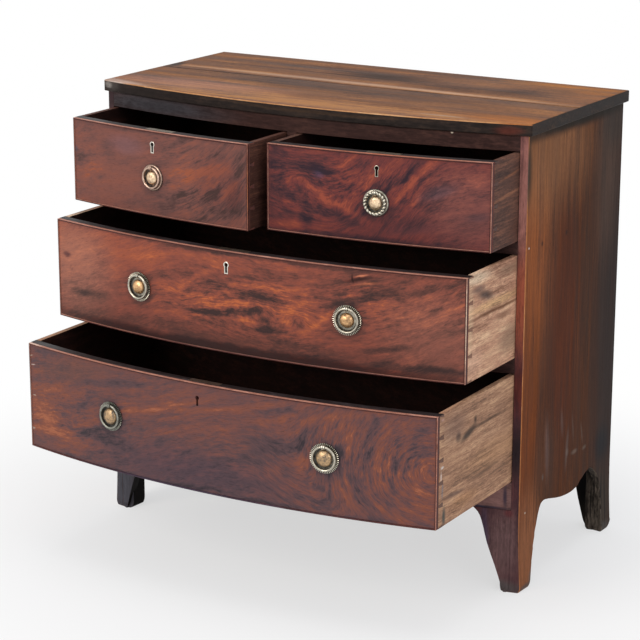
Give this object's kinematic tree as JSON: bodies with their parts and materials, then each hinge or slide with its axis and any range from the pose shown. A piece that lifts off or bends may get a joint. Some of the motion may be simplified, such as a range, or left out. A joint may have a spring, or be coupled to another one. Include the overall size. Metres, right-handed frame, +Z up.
{
  "type": "bow front chest of drawers",
  "caption": "Mahogany bow front chest of drawers on bracket feet, with short drawers over long ones, ring pull handles, locks and dovetailed drawer boxes.",
  "frame": {"origin": "on the floor, under the middle of the box that holds the chest with its drawers standing open", "axes": "+X to the right along the front, +Y from the front to the back, +Z up"},
  "size_m": [0.93, 0.7686, 0.887],
  "materials": {
    "top_mahogany": "worn satin polish",
    "side_mahogany": "aged satin polish",
    "rail_mahogany": "aged dark polish",
    "flame_mahogany": "semi-gloss polish over flame veneer",
    "bead_mahogany": "worn satin polish",
    "foot_mahogany": "aged satin polish",
    "drawer_wood": "bare planed wood, darkened by age",
    "carcass_pine": "bare planed wood, darkened by age",
    "handle_brass": "aged, dark in the hollows and bright on the edges",
    "lock_iron": "dull aged metal"
  },
  "bodies": {
    "carcass": {"top_board": "top_mahogany", "side_right": "side_mahogany", "side_left": "side_mahogany", "top_rail": "rail_mahogany", "upper_rail": "rail_mahogany", "lower_rail": "rail_mahogany", "base_rail": "foot_mahogany", "upper_dustboard": "carcass_pine", "lower_dustboard": "carcass_pine", "bottom_board": "carcass_pine", "back_board": "carcass_pine", "drawer_divider": "rail_mahogany", "front_foot_right": "foot_mahogany", "front_foot_left": "foot_mahogany", "rear_foot_right": "carcass_pine", "rear_foot_left": "carcass_pine"},
    "top_left_drawer": {"top_left_drawer_front": "flame_mahogany", "top_left_drawer_cock_bead": "bead_mahogany", "top_left_drawer_side_left": "drawer_wood", "top_left_drawer_side_right": "drawer_wood", "top_left_drawer_bottom": "drawer_wood", "top_left_drawer_back": "drawer_wood", "top_left_drawer_lock_case": "lock_iron", "top_left_drawer_handle_plate": "handle_brass"},
    "top_left_bolt": {"top_left_drawer_lock_bolt": "handle_brass"},
    "top_left_ring": {"top_left_drawer_handle_ring": "handle_brass"},
    "top_right_drawer": {"top_right_drawer_front": "flame_mahogany", "top_right_drawer_cock_bead": "bead_mahogany", "top_right_drawer_side_left": "drawer_wood", "top_right_drawer_side_right": "drawer_wood", "top_right_drawer_bottom": "drawer_wood", "top_right_drawer_back": "drawer_wood", "top_right_drawer_lock_case": "lock_iron", "top_right_drawer_handle_plate": "handle_brass"},
    "top_right_bolt": {"top_right_drawer_lock_bolt": "handle_brass"},
    "top_right_ring": {"top_right_drawer_handle_ring": "handle_brass"},
    "middle_drawer": {"middle_drawer_front": "flame_mahogany", "middle_drawer_cock_bead": "bead_mahogany", "middle_drawer_side_left": "drawer_wood", "middle_drawer_side_right": "drawer_wood", "middle_drawer_bottom": "drawer_wood", "middle_drawer_back": "drawer_wood", "middle_drawer_lock_case": "lock_iron", "middle_drawer_left_handle_plate": "handle_brass", "middle_drawer_right_handle_plate": "handle_brass"},
    "middle_bolt": {"middle_drawer_lock_bolt": "handle_brass"},
    "middle_left_ring": {"middle_drawer_left_handle_ring": "handle_brass"},
    "middle_right_ring": {"middle_drawer_right_handle_ring": "handle_brass"},
    "bottom_drawer": {"bottom_drawer_front": "flame_mahogany", "bottom_drawer_cock_bead": "bead_mahogany", "bottom_drawer_side_left": "drawer_wood", "bottom_drawer_side_right": "drawer_wood", "bottom_drawer_bottom": "drawer_wood", "bottom_drawer_back": "drawer_wood", "bottom_drawer_lock_case": "lock_iron", "bottom_drawer_left_handle_plate": "handle_brass", "bottom_drawer_right_handle_plate": "handle_brass"},
    "bottom_bolt": {"bottom_drawer_lock_bolt": "handle_brass"},
    "bottom_left_ring": {"bottom_drawer_left_handle_ring": "handle_brass"},
    "bottom_right_ring": {"bottom_drawer_right_handle_ring": "handle_brass"}
  },
  "joints": [
    {"name": "top_left_drawer_slide", "type": "slide", "parent": "carcass", "child": "top_left_drawer", "axis": [0, -1, 0], "range_m": [-0.132, 0.178]},
    {"name": "top_right_drawer_slide", "type": "slide", "parent": "carcass", "child": "top_right_drawer", "axis": [0, -1, 0], "range_m": [-0.103, 0.207]},
    {"name": "middle_drawer_slide", "type": "slide", "parent": "carcass", "child": "middle_drawer", "axis": [0, -1, 0], "range_m": [-0.19, 0.12]},
    {"name": "bottom_drawer_slide", "type": "slide", "parent": "carcass", "child": "bottom_drawer", "axis": [0, -1, 0], "range_m": [-0.29, 0.02]},
    {"name": "top_left_bolt_slide", "type": "slide", "parent": "top_left_drawer", "child": "top_left_bolt", "axis": [0, 0, 1], "range_m": [0, 0.007]},
    {"name": "top_right_bolt_slide", "type": "slide", "parent": "top_right_drawer", "child": "top_right_bolt", "axis": [0, 0, 1], "range_m": [0, 0.007]},
    {"name": "middle_bolt_slide", "type": "slide", "parent": "middle_drawer", "child": "middle_bolt", "axis": [0, 0, 1], "range_m": [0, 0.007]},
    {"name": "bottom_bolt_slide", "type": "slide", "parent": "bottom_drawer", "child": "bottom_bolt", "axis": [0, 0, 1], "range_m": [0, 0.007]},
    {"name": "top_left_ring_hinge", "type": "hinge", "parent": "top_left_drawer", "child": "top_left_ring", "pos_m": [-0.23174, -0.21701, 0.7655], "axis": [-0.9928, 0.1194, 0], "range_deg": [0, 170]},
    {"name": "top_right_ring_hinge", "type": "hinge", "parent": "top_right_drawer", "child": "top_right_ring", "pos_m": [0.23181, -0.18861, 0.7655], "axis": [-0.9928, -0.1194, 0], "range_deg": [0, 170]},
    {"name": "middle_left_ring_hinge", "type": "hinge", "parent": "middle_drawer", "child": "middle_left_ring", "pos_m": [-0.22475, -0.27614, 0.5725], "axis": [-0.9933, 0.1158, 0], "range_deg": [0, 170]},
    {"name": "middle_right_ring_hinge", "type": "hinge", "parent": "middle_drawer", "child": "middle_right_ring", "pos_m": [0.22576, -0.27603, 0.5725], "axis": [-0.9932, -0.1163, 0], "range_deg": [0, 170]},
    {"name": "bottom_left_ring_hinge", "type": "hinge", "parent": "bottom_drawer", "child": "bottom_left_ring", "pos_m": [-0.22275, -0.37638, 0.347], "axis": [-0.9934, 0.1148, 0], "range_deg": [0, 170]},
    {"name": "bottom_right_ring_hinge", "type": "hinge", "parent": "bottom_drawer", "child": "bottom_right_ring", "pos_m": [0.2388, -0.37445, 0.347], "axis": [-0.9924, -0.123, 0], "range_deg": [0, 170]}
  ]
}
